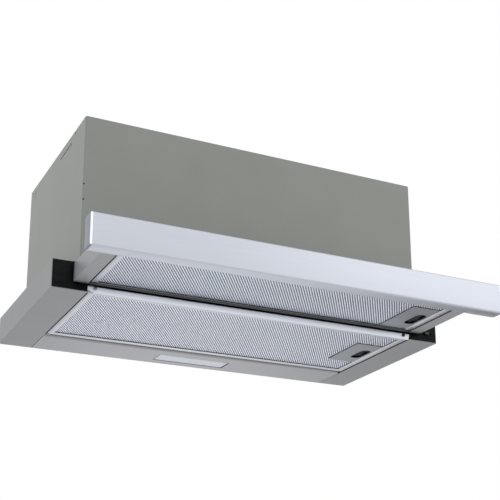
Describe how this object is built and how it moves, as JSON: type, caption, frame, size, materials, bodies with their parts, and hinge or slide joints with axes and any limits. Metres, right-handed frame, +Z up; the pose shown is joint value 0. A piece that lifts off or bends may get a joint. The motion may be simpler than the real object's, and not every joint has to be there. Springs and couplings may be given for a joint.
{
  "type": "telescopic range hood",
  "caption": "Built-in telescopic range hood: a boxy casing on a wider flat base with a mesh grease filter and lamp below, and a pull-out filter tray behind a steel fascia.",
  "frame": {"origin": "middle of the underside of the outline with the tray pulled out: half-way across the width, half-way between the fascia's front and the wall side, level with the base's underside", "axes": "+X to the right as seen by the cook, +Y from the fascia to the wall, +Z up"},
  "size_m": [0.598, 0.442, 0.281],
  "materials": {
    "casing_paint": "warm grey powder coat, satin",
    "base_paint": "warm grey powder coat, satin",
    "strip_steel": "brushed stainless, satin",
    "rail_steel": "brushed stainless, bright",
    "fascia_steel": "brushed stainless, pale",
    "cap_grey": "moulded grey plastic",
    "filter_frame": "folded aluminium, satin",
    "filter_mesh": "expanded aluminium mesh",
    "filter_core": "layered aluminium mesh",
    "handle_plate": "pressed aluminium, satin",
    "latch": "spring steel",
    "black_plastic": "moulded black plastic",
    "knob_plastic": "moulded grey plastic",
    "lens": "frosted plastic",
    "lamp_white": "moulded white plastic",
    "zinc_steel": "zinc-plated steel",
    "galvanised": "galvanised steel",
    "blower_plastic": "moulded dark grey plastic",
    "motor_metal": "painted motor housing",
    "rotor_steel": "ground steel",
    "duct_plastic": "moulded black plastic",
    "flap_plastic": "moulded pale plastic",
    "board": "circuit board",
    "terminal": "moulded plastic",
    "capacitor_can": "drawn aluminium can"
  },
  "bodies": {
    "casing": {"body_wrap": "casing_paint", "top_panel": "galvanised", "rear_panel": "casing_paint", "base_frame": "base_paint", "rear_strip": "strip_steel", "front_rail": "rail_steel", "rail_screws": "zinc_steel", "left_front_plate": "black_plastic", "right_front_plate": "black_plastic", "filter_hooks": "zinc_steel", "lamp_lens": "lens", "lamp_housing": "lamp_white", "lamp_board": "lamp_white", "left_slide_rail": "zinc_steel", "right_slide_rail": "zinc_steel", "blower_left_shell": "blower_plastic", "blower_right_shell": "blower_plastic", "left_inlet_ring": "blower_plastic", "right_inlet_ring": "blower_plastic", "motor": "motor_metal", "motor_bearings": "rotor_steel", "motor_bracket": "galvanised", "duct_collar": "duct_plastic", "collar_ring": "duct_plastic", "flap_pin": "rotor_steel", "control_box": "black_plastic", "control_cover": "black_plastic", "control_board": "board", "terminal_block": "terminal", "capacitor": "capacitor_can", "cable_gland": "black_plastic", "casing_screws": "zinc_steel", "switch_box": "black_plastic"},
    "tray": {"tray_pan": "base_paint", "fascia": "fascia_steel", "fascia_left_cap": "cap_grey", "fascia_right_cap": "cap_grey", "fascia_screws": "zinc_steel", "tray_filter_hooks": "zinc_steel", "left_slide_runner": "zinc_steel", "right_slide_runner": "zinc_steel"},
    "left_cage": {"left_ball_cage": "rotor_steel"},
    "right_cage": {"right_ball_cage": "rotor_steel"},
    "base_filter": {"base_filter_frame": "filter_frame", "base_filter_mesh": "filter_mesh", "base_filter_core": "filter_core", "base_filter_handle": "handle_plate"},
    "base_latch": {"base_filter_latch": "latch"},
    "tray_filter": {"tray_filter_frame": "filter_frame", "tray_filter_mesh": "filter_mesh", "tray_filter_core": "filter_core", "tray_filter_handle": "handle_plate"},
    "tray_latch": {"tray_filter_latch": "latch"},
    "fan": {"impeller": "blower_plastic", "motor_shaft": "rotor_steel"},
    "front_damper": {"front_flap": "flap_plastic"},
    "rear_damper": {"rear_flap": "flap_plastic"},
    "light_switch": {"light_knob": "knob_plastic"},
    "speed_switch": {"speed_knob": "knob_plastic"}
  },
  "joints": [
    {"name": "tray_slide", "type": "slide", "parent": "casing", "child": "tray", "axis": [0, -1, 0], "range_m": [-0.1388, 0]},
    {"name": "left_cage_slide", "type": "slide", "parent": "casing", "child": "left_cage", "axis": [0, -1, 0], "range_m": [-0.0694, 0]},
    {"name": "right_cage_slide", "type": "slide", "parent": "casing", "child": "right_cage", "axis": [0, -1, 0], "range_m": [-0.0694, 0]},
    {"name": "base_filter_drop", "type": "hinge", "parent": "casing", "child": "base_filter", "pos_m": [-0.246, 0.04, 0.0022], "axis": [0, 1, 0], "range_deg": [0, 60]},
    {"name": "base_latch_slide", "type": "slide", "parent": "base_filter", "child": "base_latch", "axis": [-1, 0, 0], "range_m": [0, 0.005], "stiffness_N_per_m": 400, "springref_m": -0.003},
    {"name": "tray_filter_drop", "type": "hinge", "parent": "tray", "child": "tray_filter", "pos_m": [-0.246, -0.128, 0.0142], "axis": [0, 1, 0], "range_deg": [0, 60]},
    {"name": "tray_latch_slide", "type": "slide", "parent": "tray_filter", "child": "tray_latch", "axis": [-1, 0, 0], "range_m": [0, 0.005], "stiffness_N_per_m": 400, "springref_m": -0.003},
    {"name": "fan_spin", "type": "hinge", "parent": "casing", "child": "fan", "pos_m": [0, 0.061, 0.14613], "axis": [1, 0, 0], "continuous": true},
    {"name": "front_damper_swing", "type": "hinge", "parent": "casing", "child": "front_damper", "pos_m": [0, 0.11169, 0.261], "axis": [-1, 0, 0], "range_deg": [0, 75]},
    {"name": "rear_damper_swing", "type": "hinge", "parent": "casing", "child": "rear_damper", "pos_m": [0, 0.11169, 0.261], "axis": [1, 0, 0], "range_deg": [0, 75]},
    {"name": "light_switch_slide", "type": "slide", "parent": "casing", "child": "light_switch", "axis": [1, 0, 0], "range_m": [0, 0.007]},
    {"name": "speed_switch_slide", "type": "slide", "parent": "casing", "child": "speed_switch", "axis": [1, 0, 0], "range_m": [0, 0.01]}
  ],
  "couplings": [
    {"joint": "left_cage_slide", "follows": "tray_slide", "ratio": 0.5},
    {"joint": "right_cage_slide", "follows": "tray_slide", "ratio": 0.5}
  ]
}
